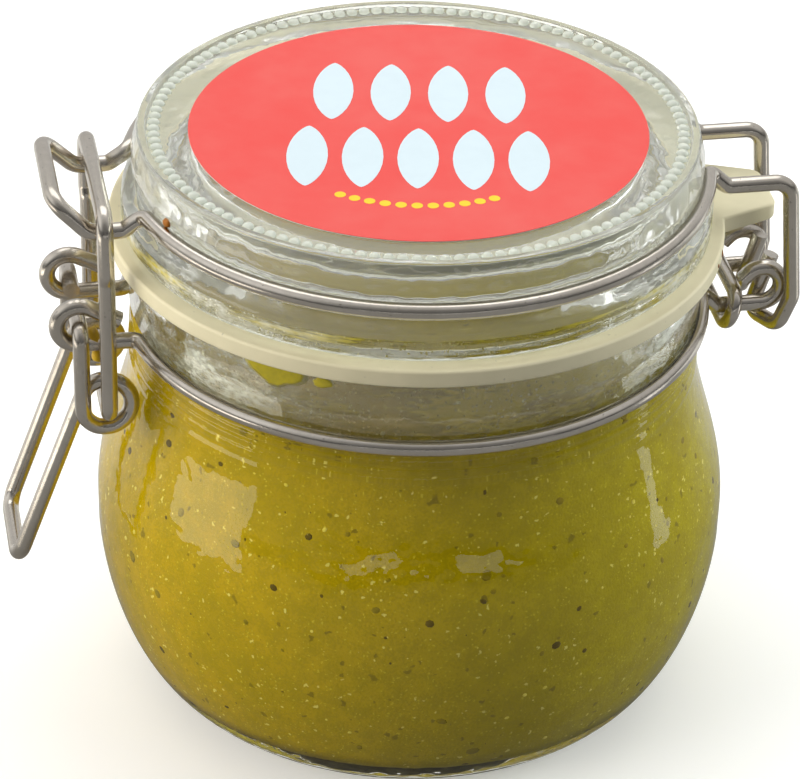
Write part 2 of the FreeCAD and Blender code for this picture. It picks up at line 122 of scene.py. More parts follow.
# ---- paste and residue ----
INTO_WALL = 0.00012        # the paste reaches this far into the glass
LEVEL_MARGIN = 0.004       # the paste's top turns uneven over this width from the wall
FLECK_MARGIN = 0.0006      # the flecks stop this far below the paste's top
FILM_R = BORE_R - 0.0001
FILM_THICKNESS = 0.00012
SKIRT_R = FLANGE_R + 0.00003
SKIRT_THICKNESS = 0.0001

# ---- label's print ----
PRINT_SUNK, PRINT_RAISED = 0.00002, 0.00003
LEAF_ROWS = ((0.0120, 4, 0.0094), (-0.0105, 5, 0.0088))    # each row's y, number and pitch
LEAF_HALF_WIDTH, LEAF_HALF_HEIGHT, LEAF_POINTEDNESS = 0.0033, 0.0100, 1.4
DOTS, DOT_PITCH = 11, 5.5                                  # the pitch in degrees
DOT_ARC_R, DOT_R = 0.0260, 0.0009

# ---- how things are drawn ----
JAR_SEGMENTS = 320
PASTE_SEGMENTS = 256
BAND_SEGMENTS = 200
LABEL_SEGMENTS = 180
GROUND_SEGMENTS = 96
PRINT_SIDES = 28
TAU = 2 * math.pi

# ---- stage and camera ----
FLOOR_IN_FRONT, FLOOR_BEHIND = 0.25, 0.7    # shares of the floor's colour that reflections see
FLOOR_GLOW = 0.14
LAMP_AIM_Z = 0.05
AZIMUTH, ELEVATION, ROLL = -11.0, 32.018, 1.455            # degrees
CAMERA_DISTANCE = 0.600
LENS, SENSOR_WIDTH = 160.38, 36.0                          # millimetres
CAMERA_AIM_Z, CAMERA_AIM_ACROSS = 0.051418, -0.001941


# ================= settings =================
def colour_setting(name, default, description):
    return FloatVectorProperty(name=name, description=description, default=default, size=3,
                               subtype="COLOR", min=0, max=1)


def share_setting(name, default, description):
    return FloatProperty(name=name, description=description, default=default, subtype="FACTOR",
                         min=0, max=1)


class JarLook(bpy.types.PropertyGroup):
    tint: colour_setting("Glass tint", (0.955, 0.97, 0.94), "Faint colour of the glass")
    ripple: share_setting("Ripple", 0.16, "Strength of the pressed glass's waviness")


class LidLook(bpy.types.PropertyGroup):
    beads: IntProperty(name="Beads", description="Beads round the rim", default=125, min=12)
    bead_width: FloatProperty(name="Bead width", description="Width of a bead across the rim",
                              default=0.0022, min=0.0005, unit="LENGTH", subtype="DISTANCE")
    clearness: share_setting("Clearness", 0.87, "Share of the light that the lid lets through")


class PasteLook(bpy.types.PropertyGroup):
    colour: colour_setting("Colour", (0.52, 0.37, 0.0005), "Main colour of the paste")
    dark_flecks: FloatProperty(name="Dark flecks", description="Dark flecks for each square metre",
                               default=9500, min=0)
    pale_flecks: FloatProperty(name="Pale flecks", description="Pale flecks for each square metre",
                               default=33000, min=0)
    unevenness: FloatProperty(name="Unevenness", description="Height of the paste's uneven top",
                              default=0.0011, min=0, unit="LENGTH", subtype="DISTANCE")


class WireLook(bpy.types.PropertyGroup):
    colour: colour_setting("Colour", (0.68, 0.63, 0.56), "Colour of the steel")
    tarnish: share_setting("Tarnish", 0.30, "Share of the wire that is dulled")


class LabelLook(bpy.types.PropertyGroup):
    paper: colour_setting("Paper", (0.80, 0.105, 0.09), "Field colour of the label")
    pale: colour_setting("Pale print", (0.68, 0.81, 0.88), "Colour of the large shapes")
    bright: colour_setting("Bright print", (0.95, 0.66, 0.01), "Colour of the small shapes")


class StageLook(bpy.types.PropertyGroup):
    light: FloatProperty(name="Light", description="Level of all the lamps", default=1.0, min=0)
    floor: colour_setting("Floor", (1.0, 1.0, 1.0), "Colour of the floor")


# ================= node helpers =================
def feed(tree, socket, value):
    """Links value to socket if it is a socket itself, or else sets it."""
    if isinstance(value, bpy.types.NodeSocket):
        tree.links.new(value, socket)
    else:
        socket.default_value = value


def add(tree, kind, inputs=(), **settings):
    """A node in tree, with its settings and its inputs set or linked."""
    node = tree.nodes.new(kind)
    for key, value in settings.items():
        setattr(node, key, value)
    for name, value in dict(inputs).items():
        feed(tree, node.inputs[name], value)
    return node


def maths(tree, operation, *values):
    return add(tree, "ShaderNodeMath", enumerate(values), operation=operation).outputs[0]


def vector_maths(tree, operation, *values):
    return add(tree, "ShaderNodeVectorMath", enumerate(values), operation=operation).outputs[0]


def mixed(tree, factor, first, second):
    """A colour mixed from first to second by factor."""
    node = add(tree, "ShaderNodeMix", data_type="RGBA")
    for name, value in (("Factor", factor), (6, first), (7, second)):    # by number: A and B of its colours
        feed(tree, node.inputs[name], value)
    return node.outputs[2]


def ramp(tree, factor, low, high):
    """0 below low, 1 above high, smooth between."""
    node = add(tree, "ShaderNodeMapRange", {"Value": factor, "From Min": low, "From Max": high},
               interpolation_type="SMOOTHSTEP")
    return node.outputs["Result"]


def rgba(colour, alpha=1.0):
    return (colour[0], colour[1], colour[2], alpha)


def shader_group(name, inputs, outputs, build):
    """A shader node group, built once, with named inputs and outputs."""
    tree = bpy.data.node_groups.get(name)
    if tree is None:
        tree = bpy.data.node_groups.new(name, "ShaderNodeTree")
        for label, kind, value in inputs:
            tree.interface.new_socket(label, in_out="INPUT", socket_type=kind).default_value = value
        for label, kind in outputs:
            tree.interface.new_socket(label, in_out="OUTPUT", socket_type=kind)
        build(tree, tree.nodes.new("NodeGroupInput").outputs, tree.nodes.new("NodeGroupOutput").inputs)
    return tree


def use_group(tree, group, inputs=()):
    node = tree.nodes.new("ShaderNodeGroup")
    node.node_tree = group
    for name, value in dict(inputs).items():
        feed(tree, node.inputs[name], value)
    return node.outputs


FLOAT, VECTOR = "NodeSocketFloat", "NodeSocketVector"


def flecks_group():
    """Scattered uneven spots: a mask, with each spot's own random value."""
    def build(tree, given, out):
        stir_scale = maths(tree, "MULTIPLY", given["Scale"], 1.6)
        stir = add(tree, "ShaderNodeTexNoise", {
            "Vector": given["Place"], "Scale": stir_scale, "Detail": 2.0})
        centred = vector_maths(tree, "SUBTRACT", stir.outputs["Color"], (0.5, 0.5, 0.5))
        shift = vector_maths(tree, "DIVIDE", centred, add(tree, "ShaderNodeCombineXYZ", {
            axis: given["Scale"] for axis in "XYZ"}).outputs[0])
        cells = add(tree, "ShaderNodeTexVoronoi", {
            "Vector": vector_maths(tree, "ADD", given["Place"], shift), "Scale": given["Scale"]})
        edge = maths(tree, "ADD", given["Size"], 0.06)
        spot = add(tree, "ShaderNodeMapRange", {"Value": cells.outputs["Distance"], "From Min": edge,
                                                "From Max": given["Size"]}, interpolation_type="SMOOTHSTEP")
        split = add(tree, "ShaderNodeSeparateColor", {"Color": cells.outputs["Color"]})
        kept = maths(tree, "LESS_THAN", split.outputs["Red"], given["Share"])
        tree.links.new(maths(tree, "MULTIPLY", spot.outputs["Result"], kept), out["Mask"])
        tree.links.new(split.outputs["Green"], out["Random"])
    return shader_group("Flecks", [("Place", VECTOR, (0, 0, 0)), ("Scale", FLOAT, 500.0),
                                   ("Size", FLOAT, 0.2), ("Share", FLOAT, 0.3)],
                        [("Mask", FLOAT), ("Random", FLOAT)], build)


def clouds_group():
    """Soft uneven patches from 0 to 1, at two scales."""
    def build(tree, given, out):
        broad = add(tree, "ShaderNodeTexNoise", {
            "Vector": given["Place"], "Scale": given["Scale"], "Detail": 3.0})
        fine_scale = maths(tree, "MULTIPLY", given["Scale"], 7.0)
        fine = add(tree, "ShaderNodeTexNoise", {
            "Vector": given["Place"], "Scale": fine_scale, "Detail": 4.0})
        weighted = maths(tree, "MULTIPLY", fine.outputs["Fac"], given["Fineness"])
        rest = maths(tree, "SUBTRACT", 1.0, given["Fineness"])
        both = maths(tree, "ADD", maths(tree, "MULTIPLY", broad.outputs["Fac"], rest), weighted)
        tree.links.new(ramp(tree, both, 0.33, 0.67), out["Mask"])
        tree.links.new(both, out["Height"])
    return shader_group("Clouds", [("Place", VECTOR, (0, 0, 0)), ("Scale", FLOAT, 60.0),
                                   ("Fineness", FLOAT, 0.3)], [("Mask", FLOAT), ("Height", FLOAT)], build)


def flecks(tree, coords, scale, size, share):
    return use_group(tree, flecks_group(), {"Place": coords, "Scale": scale, "Size": size, "Share": share})


def clouds(tree, coords, scale, fineness):
    return use_group(tree, clouds_group(), {"Place": coords, "Scale": scale, "Fineness": fineness})


def new_material(name):
    material = bpy.data.materials.new(name)
    material.use_nodes = True
    tree = material.node_tree
    tree.nodes.clear()
    return material, tree, add(tree, "ShaderNodeTexCoord").outputs["Object"]


def bump(tree, height, strength, distance):
    node = add(tree, "ShaderNodeBump", {"Strength": strength, "Distance": distance, "Height": height})
    return node.outputs["Normal"]


def finish_material(tree, shader):
    add(tree, "ShaderNodeOutputMaterial", {"Surface": shader.outputs[0]})


# ================= materials =================
def glass_material(name, tint, ripple, fog, clearness, gloss):
    """Pressed glass that lets the lamps through, with slow waves and a little haze."""
    material, tree, coords = new_material(name)
    waves = clouds(tree, coords, 75.0, 0.0)
    haze = clouds(tree, coords, 38.0, 0.5)
    roughness = maths(tree, "MULTIPLY", haze["Mask"], fog)
    glass = add(tree, "ShaderNodeBsdfPrincipled", {
        "Base Color": rgba(tint), "Roughness": roughness, "IOR": 1.5, "Transmission Weight": clearness,
        "Specular IOR Level": gloss, "Normal": bump(tree, waves["Height"], ripple, 0.004)})
    clear = add(tree, "ShaderNodeBsdfTransparent", {"Color": rgba(tint)})
    path = add(tree, "ShaderNodeLightPath")
    lets_through = maths(tree, "MAXIMUM", path.outputs["Is Shadow Ray"], path.outputs["Is Diffuse Ray"])
    finish_material(tree, add(tree, "ShaderNodeMixShader", {
        0: lets_through, 1: glass.outputs[0], 2: clear.outputs[0]}))
    return material


def paste_material(colour):
    material, tree, coords = new_material("chilli_paste")
    broad = clouds(tree, coords, 55.0, 0.3)
    grain = clouds(tree, coords, 330.0, 0.55)
    seeds = flecks(tree, coords, 620.0, 0.16, 0.22)
    pulp = flecks(tree, coords, 1500.0, 0.22, 0.35)
    skins = flecks(tree, coords, 420.0, 0.15, 0.18)
    smudges = flecks(tree, coords, 190.0, 0.10, 0.40)
    across = add(tree, "ShaderNodeSeparateXYZ", {"Vector": coords}).outputs["X"]
    red, green, blue = colour
    # painted light: the paste is warmer and a little brighter towards the closure's side (-X) and greener
    # towards the hinge's side (+X), standing in for the warm key lamp at the left and the cool fill lamp at
    # the right
    tone = mixed(tree, ramp(tree, across, -0.048, 0.048), (red * 1.04, green * 0.97, blue, 1),
                 (red * 0.93, green * 1.07, blue, 1))
    for mask, share, shade in (
            (ramp(tree, broad["Height"], 0.42, 0.60), 0.40, (red * 0.70, green * 0.75, blue, 1)),
            (ramp(tree, grain["Height"], 0.43, 0.57), 0.40, (red * 0.62, green * 0.68, blue, 1)),
            (pulp["Mask"], 0.32, (0.95, 0.80, 0.06, 1)),
            (seeds["Mask"], 0.60, (1.0, 0.88, 0.20, 1)),
            (smudges["Mask"], 0.60, (0.15, 0.11, 0.001, 1)),
            (skins["Mask"], 0.60, (0.13, 0.09, 0.001, 1))):
        tone = mixed(tree, maths(tree, "MULTIPLY", mask, share), tone, shade)
    paste = add(tree, "ShaderNodeBsdfPrincipled", {
        "Base Color": tone, "Roughness": 0.6, "Specular IOR Level": 0.03, "Subsurface Weight": 0.12,
        "Subsurface Scale": 0.0012, "Normal": bump(tree, grain["Height"], 0.35, 0.0006)})
    paste.inputs["Subsurface Radius"].default_value = (1.0, 0.8, 0.1)
    finish_material(tree, paste)
    return material


def steel_material(colour, tarnish):
    """Drawn wire: bright, with dulled patches, small pits and a fine grain."""
    material, tree, coords = new_material("steel_wire")
    dull = clouds(tree, coords, 95.0, 0.35)
    grain = clouds(tree, coords, 900.0, 0.5)
    pits = flecks(tree, coords, 1400.0, 0.17, 0.12)
    worn = maths(tree, "MULTIPLY", dull["Mask"], tarnish)
    red, green, blue = colour
    tone = mixed(tree, worn, rgba(colour), (red * 0.62, green * 0.60, blue * 0.55, 1))
    tone = mixed(tree, maths(tree, "MULTIPLY", pits["Mask"], 0.5), tone, (0.13, 0.11, 0.08, 1))
    roughness = maths(tree, "ADD", maths(tree, "MULTIPLY", worn, 0.35), 0.15)
    steel = add(tree, "ShaderNodeBsdfPrincipled", {
        "Base Color": tone, "Metallic": 1.0, "Roughness": roughness,
        "Normal": bump(tree, grain["Height"], 0.12, 0.0002)})
    finish_material(tree, steel)
    return material


def matt_material(name, colour, shade, scale, roughness, relief=0.2, marks=0.0, shine=0.5):
    """A solid finish that drifts between colour and shade, with faint marks."""
    material, tree, coords = new_material(name)
    patches = clouds(tree, coords, scale, 0.35)
    dust = flecks(tree, coords, 900.0, 0.13, 0.08)
    tone = mixed(tree, patches["Mask"], rgba(colour), rgba(shade))
    tone = mixed(tree, maths(tree, "MULTIPLY", dust["Mask"], marks), tone,
                 rgba([c * 0.35 for c in colour]))
    drift = maths(tree, "ADD", maths(tree, "MULTIPLY", patches["Mask"], 0.12), roughness)
    surface = add(tree, "ShaderNodeBsdfPrincipled", {
        "Base Color": tone, "Roughness": drift, "Specular IOR Level": shine,
        "Normal": bump(tree, patches["Height"], relief, 0.0004)})
    finish_material(tree, surface)
    return material


def film_material(name, colour, cover, evenness, stretch):
    """A thin smear of paste on glass: streaked, with droplets, and with a painted reflection that turns it
    pale in patches at both sides.
    """
    material, tree, coords = new_material(name)
    streaks = vector_maths(tree, "MULTIPLY", coords, (1 / stretch, 1 / stretch, stretch))
    patches = clouds(tree, streaks, 120.0, 0.3)
    sheen_place = vector_maths(tree, "MULTIPLY", coords, (0.6, 0.6, 1.4))
    sheen_patches = clouds(tree, sheen_place, 170.0, 0.4)
    drops = flecks(tree, coords, 1500.0, 0.25, 0.35)
    across = add(tree, "ShaderNodeSeparateXYZ", {"Vector": coords}).outputs["X"]
    # painted reflection: towards both sides, as the camera sees them, the film turns pale and more opaque in
    # patches, standing in for the glass's bright reflection there
    sides = ramp(tree, maths(tree, "ABSOLUTE", across), 0.014, 0.036)
    pale = maths(tree, "MULTIPLY", sides, sheen_patches["Mask"])
    patchy = ramp(tree, patches["Height"], 0.46, 0.58)
    veil = maths(tree, "MULTIPLY", maths(tree, "MULTIPLY_ADD", patchy, 1 - evenness, evenness), cover)
    alpha = maths(tree, "MAXIMUM", veil, maths(tree, "MULTIPLY", drops["Mask"], cover * 1.2))
    alpha = maths(tree, "MAXIMUM", alpha, maths(tree, "MULTIPLY", pale, 0.7))
    tone = mixed(tree, ramp(tree, patches["Height"], 0.52, 0.64),
                 rgba([c * 0.5 for c in colour]), rgba(colour))
    tone = mixed(tree, maths(tree, "MULTIPLY", drops["Mask"], 0.5), tone, (0.60, 0.56, 0.36, 1))
    # painted reflection: the pale colour at the sides
    tone = mixed(tree, pale, tone, (0.88, 0.89, 0.82, 1))
    film = add(tree, "ShaderNodeBsdfPrincipled", {"Base Color": tone, "Roughness": 0.35, "Alpha": alpha})
    finish_material(tree, film)
    return material


# ================= mesh helpers =================
def link_piece(name, mesh, material):
    piece = bpy.data.objects.new(name, mesh)
    bpy.context.scene.collection.objects.link(piece)
    if material is not None:
        mesh.materials.clear()
        mesh.materials.append(material)
    return piece


def place(piece, body, slot, *nodes):
    """Puts a finished piece on its body and hides the CAD nodes that it stands for; slot is not used."""
    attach(piece, body)
    if nodes:
        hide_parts(*nodes)


def arc_points(centre_r, centre_z, radius, start, end, steps):
    """Points of an arc in the (r, z) half plane, angles in degrees."""
    points = []
    for i in range(steps + 1):
        angle = math.radians(start + (end - start) * i / steps)
        points.append((centre_r + radius * math.cos(angle), centre_z + radius * math.sin(angle)))
    return points


def softened(points, radius, steps=4):
    """The outline with each sharp inner corner rounded, up to radius."""
    rounded = [points[0]]
    for before, corner, after in zip(points, points[1:], points[2:]):
        at, back, ahead = Vector(corner), Vector(before) - Vector(corner), Vector(after) - Vector(corner)
        turn = math.pi - back.angle(ahead)
        reach = min(radius, back.length * 0.4, ahead.length * 0.4)
        if turn < math.radians(25):
            rounded.append(corner)
            continue
        start, end = at + back.normalized() * reach, at + ahead.normalized() * reach
        for i in range(steps + 1):
            t = i / steps
            point = start * (1 - t) ** 2 + at * 2 * t * (1 - t) + end * t ** 2
            rounded.append(tuple(point))
    rounded.append(points[-1])
    return rounded


def bridge(form, low, high):
    """Faces from one ring of points to the next; a ring may be a single point."""
    for i in range(max(len(low), len(high))):
        corners = [low[i % len(low)], low[(i + 1) % len(low)],
                   high[(i + 1) % len(high)], high[i % len(high)]]
        distinct = list(dict.fromkeys(corners))
        if len(distinct) > 2:
            form.faces.new(distinct)


def lathe(name, outline, segments, shift=None, closed=False):
    """A turned mesh, whose outline meets itself if it is closed; shift moves a point."""
    form = bmesh.new()
    rings = []
    for r, z in outline:
        if r < 1e-7:
            rings.append([form.verts.new((0, 0, z))])
            continue
        ring = []
        for i in range(segments):
            angle = TAU * i / segments
            point = Vector((r * math.cos(angle), r * math.sin(angle), z))
            ring.append(form.verts.new(shift(point) if shift else point))
        rings.append(ring)
    for low, high in zip(rings, rings[1:] + rings[:1] if closed else rings[1:]):
        bridge(form, low, high)
    bmesh.ops.recalc_face_normals(form, faces=form.faces)
    return to_mesh(name, form)


def to_mesh(name, form):
    for face in form.faces:
        face.smooth = True
    mesh = bpy.data.meshes.new(name)
    form.to_mesh(mesh)
    form.free()
    return mesh


def flat_piece(name, mesh, material):
    """A piece whose faces are shaded flat."""
    mesh.polygons.foreach_set("use_smooth", [False] * len(mesh.polygons))
    return link_piece(name, mesh, material)


def smooth_copy(node, name, material, angle=35):
    """A welded, smooth-shaded copy of a CAD node's mesh."""
    form = bmesh.new()
    form.from_mesh(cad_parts[node].data)
    bmesh.ops.remove_doubles(form, verts=form.verts, dist=1e-6)
    for edge in form.edges:
        edge.smooth = len(edge.link_faces) < 2 or edge.calc_face_angle(0) < math.radians(angle)
    return link_piece(name, to_mesh(name, form), material)


# ================= outlines =================
def body_outline(inset):
    """Points of the jar's side, from the heel up to the neck, moved in by inset."""
    heel_r = FOOT_R + HEEL_STEP
    points = []
    for i in range(24):
        t = (i / 24) ** 1.5
        bulge = (1 - (1 - t) ** HEEL_POWER) ** (1 / HEEL_POWER)
        points.append((heel_r + bulge * (BELLY_R - heel_r) - inset,
                       FOOT_HEIGHT + t * (BELLY_LOW_Z - FOOT_HEIGHT)))
    for i in range(61):
        t = i / 60
        drop = (1 - math.cos(math.pi * t)) / 2
        z = BELLY_HIGH_Z + t * (SHOULDER_TOP_Z - BELLY_HIGH_Z)
        points.append((BELLY_R - drop * (BELLY_R - NECK_R) - inset, z))
    return points


def inner_outline(gap, top_z):
    """The inside of the body from the floor's centre up to top_z."""
    floor_z = PUSH_UP + BASE_THICKNESS + gap
    wall = [p for p in body_outline(WALL + gap) if floor_z + FLOOR_ROUND < p[1] < top_z - 0.0002]
    start_r = wall[0][0]
    low = Vector((start_r - 1.6 * FLOOR_ROUND, floor_z))
    corner = Vector((start_r - 0.3 * FLOOR_ROUND, floor_z))
    start = Vector(wall[0])
    bend = [(0, floor_z)]
    for i in range(9):
        t = i / 8
        bend.append(tuple(low * (1 - t) ** 2 + corner * 2 * t * (1 - t) + start * t ** 2))
    return bend + wall[1:] + [(NECK_R - WALL - gap, top_z)]


def with_ridges(points):
    """The shoulder with the fine rings that the mould left."""
    ridged = []
    for r, z in points:
        lift = sum(height * math.exp(-((z - at) / RIDGE_WIDTH) ** 2) for at, height in RIDGES)
        ridged.append((r + lift, z))
    return ridged


def jar_outline():
    foot_inner = FOOT_R - FOOT_RING_WIDTH
    low_dz = math.sqrt(SEAT_R ** 2 - (NECK_RING_R - NECK_R) ** 2)
    high_dz = math.sqrt(SEAT_R ** 2 - (NECK_RING_R - COLLAR_R) ** 2)
    start = 180 + math.degrees(math.asin(low_dz / SEAT_R))
    end = 180 - math.degrees(math.asin(high_dz / SEAT_R))
    neck = [(NECK_R, SHOULDER_TOP_Z + NECK_STEP * i) for i in range(1, 11)]
    outside = [(0, PUSH_UP), (foot_inner - PUSH_UP, PUSH_UP)]
    outside += arc_points(foot_inner + FOOT_ROUND, FOOT_ROUND, FOOT_ROUND, 200, 270, 4)
    outside += arc_points(FOOT_R - FOOT_ROUND, FOOT_ROUND, FOOT_ROUND, 270, 360, 5)
    outside += with_ridges(body_outline(0) + neck)
    outside += arc_points(NECK_RING_R, NECK_RING_Z, SEAT_R, start, end, 10)
    outside += arc_points(COLLAR_R - MOUTH_ROUND, MOUTH_Z - MOUTH_ROUND, MOUTH_ROUND, 0, 90, 6)
    outside += arc_points(BORE_R + BORE_ROUND, MOUTH_Z - BORE_ROUND, BORE_ROUND, 90, 180, 4)
    inside = inner_outline(0, PASTE_TOP_Z)
    return outside + [(BORE_R, NECK_RING_Z + 2 * WIRE_R)] + inside[::-1]


def lid_outline():
    low_dz = math.sqrt(SEAT_R ** 2 - GROOVE_LIP ** 2)
    high_dz = math.sqrt(SEAT_R ** 2 - (LID_RING_R - BAND_R) ** 2)
    start = 180 - math.degrees(math.asin(high_dz / SEAT_R))
    end = 180 + math.degrees(math.asin(low_dz / SEAT_R))
    inside = [(0, RECESS_Z), (LABEL_R + RECESS_MARGIN, RECESS_Z), (RIM_INNER_R, BEAD_Z),
              (BEAD_RING_R, BEAD_Z)]
    rim = [(BEAD_RING_R, BEAD_Z), (RIM_R - LIP_WIDTH, BEAD_Z), (RIM_R - LIP_WIDTH, LID_TOP_Z),
           (RIM_R, LID_TOP_Z), (BAND_R, LID_TOP_Z - RIM_SLOPE)]
    groove = arc_points(LID_RING_R, LID_RING_Z, SEAT_R, start, end, 10)
    plug_inner = PLUG_R - PLUG_WALL
    low = [(FLANGE_R, LID_Z + FLANGE_HEIGHT), (FLANGE_R, LID_Z), (PLUG_R, LID_Z),
           (PLUG_R, LID_Z - PLUG_DEPTH), (plug_inner, LID_Z - PLUG_DEPTH),
           (plug_inner, RECESS_Z - LID_PLATE), (0, RECESS_Z - LID_PLATE)]
    outside = softened(rim + groove[:1], RIM_ROUND, 5)
    under = softened(groove[-1:] + low, FLANGE_ROUND)
    return softened(inside, RECESS_ROUND, 3) + outside[1:-1] + groove + under[1:]


# ================= geometry node trees =================
def input_ids(tree):
    """Each named input of a geometry tree, by its identifier."""
    return {item.name: item.identifier for item in tree.interface.items_tree
            if item.item_type == "SOCKET" and item.in_out == "INPUT"}


def geometry_tree(name, inputs):
    tree = bpy.data.node_groups.new(name, "GeometryNodeTree")
    tree.is_modifier = True
    tree.interface.new_socket("Geometry", in_out="INPUT", socket_type="NodeSocketGeometry")
    for label, kind in inputs:
        tree.interface.new_socket(label, in_out="INPUT", socket_type=kind)
    tree.interface.new_socket("Geometry", in_out="OUTPUT", socket_type="NodeSocketGeometry")
    return tree, tree.nodes.new("NodeGroupInput").outputs, tree.nodes.new("NodeGroupOutput").inputs


def close_tree(tree, geometry, material, out):
    """Ends a tree in real meshes with their material."""
    real = add(tree, "GeometryNodeRealizeInstances", {"Geometry": geometry})
    painted = add(tree, "GeometryNodeSetMaterial", {"Geometry": real.outputs[0], "Material": material})
    tree.links.new(painted.outputs[0], out["Geometry"])


def bead_ring_tree():
    """A ring of domed beads that stand on a flat rim, in place of the geometry given."""
    tree, given, out = geometry_tree("Bead ring", [
        ("Beads", "NodeSocketInt"), ("Ring Radius", FLOAT), ("Bead Width", FLOAT), ("Bead Length", FLOAT),
        ("Bead Height", FLOAT), ("Rim Height", FLOAT), ("Material", "NodeSocketMaterial")])
    ring = add(tree, "GeometryNodeMeshCircle", {"Vertices": given["Beads"], "Radius": given["Ring Radius"]})
    spot = add(tree, "ShaderNodeSeparateXYZ", {"Vector": add(tree, "GeometryNodeInputPosition").outputs[0]})
    turn = add(tree, "ShaderNodeCombineXYZ", {
        "Z": maths(tree, "ARCTAN2", spot.outputs["Y"], spot.outputs["X"])})
    raised = add(tree, "GeometryNodeSetPosition", {
        "Geometry": ring.outputs["Mesh"],
        "Offset": add(tree, "ShaderNodeCombineXYZ", {"Z": given["Rim Height"]}).outputs[0]})
    ball = add(tree, "GeometryNodeMeshUVSphere", {"Segments": 12, "Rings": 8, "Radius": 1.0})
    at = add(tree, "ShaderNodeSeparateXYZ", {"Vector": add(tree, "GeometryNodeInputPosition").outputs[0]})
    domed = add(tree, "GeometryNodeSetPosition", {
        "Geometry": ball.outputs["Mesh"],
        "Position": add(tree, "ShaderNodeCombineXYZ", {
            "X": at.outputs["X"], "Y": at.outputs["Y"],
            "Z": maths(tree, "MAXIMUM", at.outputs["Z"], -0.06)}).outputs[0]})
    size = add(tree, "ShaderNodeCombineXYZ", {
        "X": maths(tree, "MULTIPLY", given["Bead Width"], 0.5),
        "Y": maths(tree, "MULTIPLY", given["Bead Length"], 0.5), "Z": given["Bead Height"]})
    beads = add(tree, "GeometryNodeInstanceOnPoints", {
        "Points": raised.outputs[0], "Instance": domed.outputs[0], "Rotation": turn.outputs[0],
        "Scale": size.outputs[0]})
    close_tree(tree, beads.outputs[0], given["Material"], out)
    return tree


def scatter_tree():
    """Scatters small flattened grains of uneven size over a surface."""
    tree, given, out = geometry_tree("Scattered grains", [
        ("Density", FLOAT), ("Smallest", FLOAT), ("Largest", FLOAT), ("Flatness", FLOAT),
        ("Seed", "NodeSocketInt"), ("Material", "NodeSocketMaterial")])
    spread = add(tree, "GeometryNodeDistributePointsOnFaces", {
        "Mesh": given["Geometry"], "Density": given["Density"], "Seed": given["Seed"]})
    grain = add(tree, "GeometryNodeMeshUVSphere", {"Segments": 7, "Rings": 4, "Radius": 0.5})
    even = add(tree, "FunctionNodeRandomValue", {"Seed": given["Seed"]}, data_type="FLOAT")
    # most grains are small and a few are large
    skewed = maths(tree, "POWER", even.outputs[1], 3.2)
    size = maths(tree, "MULTIPLY_ADD", skewed, maths(tree, "SUBTRACT", given["Largest"], given["Smallest"]),
                 given["Smallest"])
    stretch = add(tree, "FunctionNodeRandomValue", {
        2: 0.6, 3: 1.35, "Seed": maths(tree, "ADD", given["Seed"], 1.0)}, data_type="FLOAT")
    scale = add(tree, "ShaderNodeCombineXYZ", {
        "X": size, "Y": maths(tree, "MULTIPLY", size, stretch.outputs[1]),
        "Z": maths(tree, "MULTIPLY", size, given["Flatness"])})
    spin = add(tree, "FunctionNodeRandomValue", {3: TAU, "Seed": maths(tree, "ADD", given["Seed"], 2.0)},
               data_type="FLOAT")
    twist = add(tree, "ShaderNodeCombineXYZ", {"Z": spin.outputs[1]})
    turned = add(tree, "FunctionNodeRotateRotation", {"Rotation": spread.outputs["Rotation"],
                                                      "Rotate By": twist.outputs[0]}, rotation_space="LOCAL")
    grains = add(tree, "GeometryNodeInstanceOnPoints", {
        "Points": spread.outputs["Points"], "Instance": grain.outputs["Mesh"],
        "Rotation": turned.outputs[0], "Scale": scale.outputs[0]})
    close_tree(tree, grains.outputs[0], given["Material"], out)
    return tree


def grown(name, seed_mesh, tree, values, material):
    """Runs a tree on a mesh and keeps the result as a plain piece."""
    source = link_piece(name + "_source", seed_mesh, None)
    modifier = source.modifiers.new("make", "NODES")
    modifier.node_group = tree
    names = input_ids(tree)
    for label, value in values.items():
        modifier[names[label]] = value
    modifier[names["Material"]] = material
    bpy.context.view_layer.update()
    graph = bpy.context.evaluated_depsgraph_get()
    mesh = bpy.data.meshes.new_from_object(source.evaluated_get(graph), depsgraph=graph)
    source.modifiers.clear()
    bpy.data.objects.remove(source)
    mesh.name = name
    form = bmesh.new()
    form.from_mesh(mesh)
    bmesh.ops.recalc_face_normals(form, faces=form.faces)
    for face in form.faces:
        face.smooth = True
    form.to_mesh(mesh)
    form.free()
    return link_piece(name, mesh, material)


def wall_patch(form, radius, angle, z, width, height, thickness, seed):
    """Adds an uneven domed blob on a round wall to form; angle in degrees from +X."""
    rows, spokes = 4, 18
    middle = math.radians(angle)
    sides = []
    for lift in (1.0, -0.6):
        peak = radius + lift * thickness
        rings = [[form.verts.new((peak * math.cos(middle), peak * math.sin(middle), z))]]
        for row in range(1, rows + 1):
            share = row / rows
            ring = []
            for spoke in range(spokes):
                turn = TAU * spoke / spokes
                c, s = math.cos(turn), math.sin(turn)
                wobble = 1 + 0.35 * noise.noise(Vector((c * 1.3 + seed, s * 1.3, seed * 0.7)))
                across = c * width / 2 * share * wobble
                up = s * height / 2 * share * wobble
                out = radius + lift * thickness * math.sqrt(max(0.0, 1 - share ** 2))
                a = middle + across / radius
                ring.append(form.verts.new((out * math.cos(a), out * math.sin(a), z + up)))
            rings.append(ring)
        sides.append(rings)
    for rings in sides:
        for low, high in zip(rings, rings[1:]):
            bridge(form, low, high)


def blobs_piece(name, blobs, material):
    """One piece of several wall blobs, each (radius, angle, z, width, height, thickness)."""
    form = bmesh.new()
    for seed, blob in enumerate(blobs):
        wall_patch(form, *blob, seed * 3.7 + 1)
    bmesh.ops.remove_doubles(form, verts=form.verts, dist=2e-6)
    bmesh.ops.recalc_face_normals(form, faces=form.faces)
    return link_piece(name, to_mesh(name, form), material)


